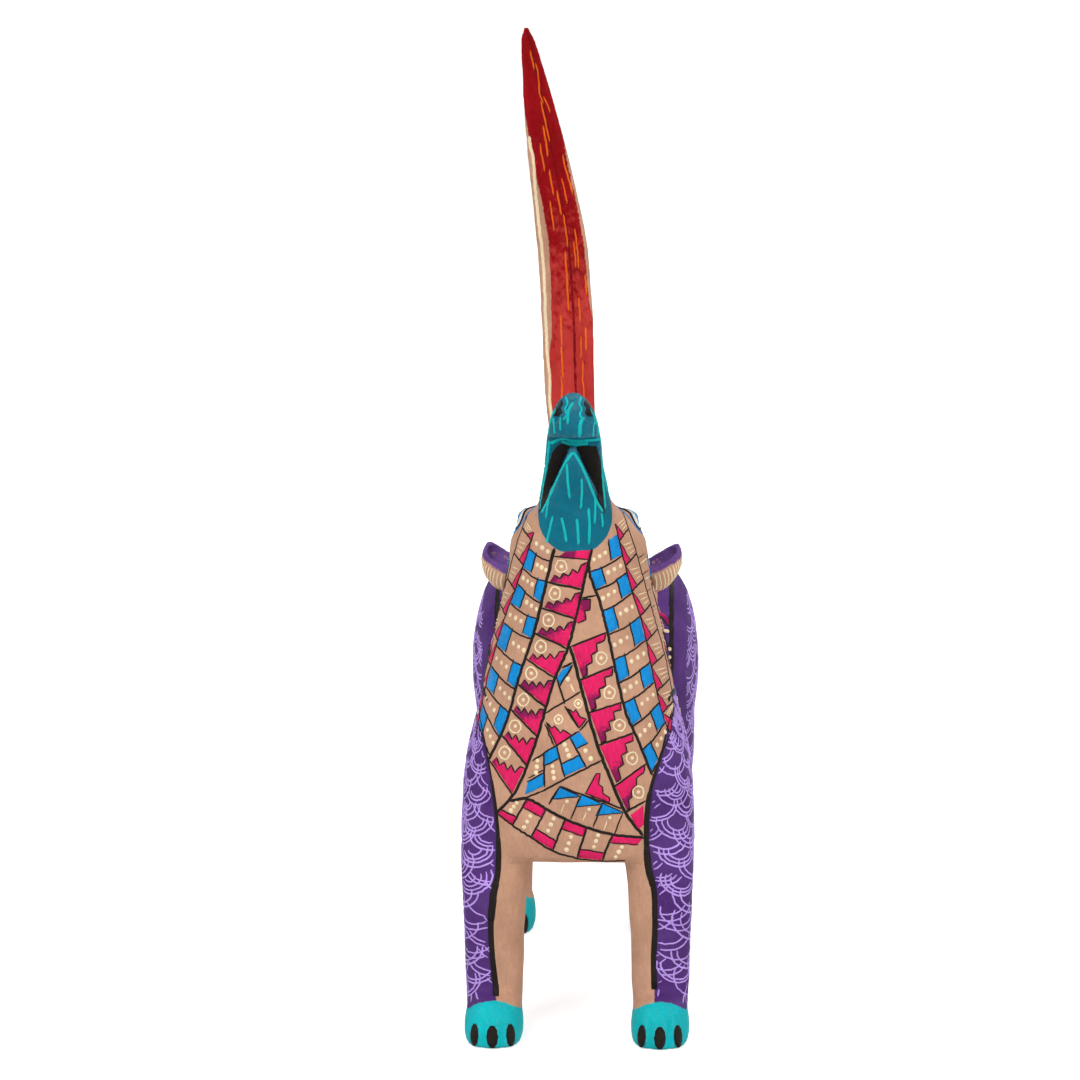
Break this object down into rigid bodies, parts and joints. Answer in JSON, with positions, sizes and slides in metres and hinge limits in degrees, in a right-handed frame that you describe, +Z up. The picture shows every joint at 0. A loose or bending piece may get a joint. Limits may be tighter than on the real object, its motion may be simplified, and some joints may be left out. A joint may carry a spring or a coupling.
{
  "type": "alebrije coyote figure",
  "caption": "Howling coyote carved in wood and painted all over with lines, dots and stepped patterns, with a tall leaf-shaped tail and ears that plug in.",
  "frame": {"origin": "middle of the figure's box, at the level of the soles", "axes": "+X to the figure's own left, +Y towards the tail, +Z up; the front of the figure faces -Y"},
  "size_m": [0.077, 0.1778, 0.3075],
  "materials": {
    "tan_paint": "acrylic paint on sanded wood, satin",
    "purple_paint": "acrylic paint on sanded wood, satin",
    "red_paint": "acrylic paint on sanded wood, satin",
    "bare_copal": "bare sanded wood",
    "black_paint": "brushed acrylic line, satin",
    "cream_paint": "brushed acrylic, satin",
    "pink_paint": "brushed acrylic, satin",
    "blue_paint": "brushed acrylic, satin",
    "teal_paint": "brushed acrylic, satin",
    "lilac_paint": "brushed acrylic line, satin",
    "orange_paint": "brushed acrylic line, satin"
  },
  "bodies": {
    "figure": {"body": "tan_paint", "front_leg_left": "purple_paint", "front_leg_right": "purple_paint", "hind_leg_left": "purple_paint", "hind_leg_right": "purple_paint", "front_dowel_left_1": "bare_copal", "front_dowel_left_2": "bare_copal", "front_dowel_right_1": "bare_copal", "front_dowel_right_2": "bare_copal", "hind_dowel_left_1": "bare_copal", "hind_dowel_left_2": "bare_copal", "hind_dowel_right_1": "bare_copal", "hind_dowel_right_2": "bare_copal"},
    "tail_plug": {"tail": "red_paint"},
    "ear_left_plug": {"ear_left": "tan_paint"},
    "ear_right_plug": {"ear_right": "tan_paint"}
  },
  "joints": [
    {"name": "tail_pull", "type": "slide", "parent": "figure", "child": "tail_plug", "axis": [0, 0.2079, 0.9781], "range_m": [0, 0.015]},
    {"name": "ear_left_pull", "type": "slide", "parent": "figure", "child": "ear_left_plug", "axis": [0.6259, 0.7269, 0.2827], "range_m": [0, 0.007]},
    {"name": "ear_right_pull", "type": "slide", "parent": "figure", "child": "ear_right_plug", "axis": [-0.5229, 0.8045, 0.2816], "range_m": [0, 0.007]}
  ]
}
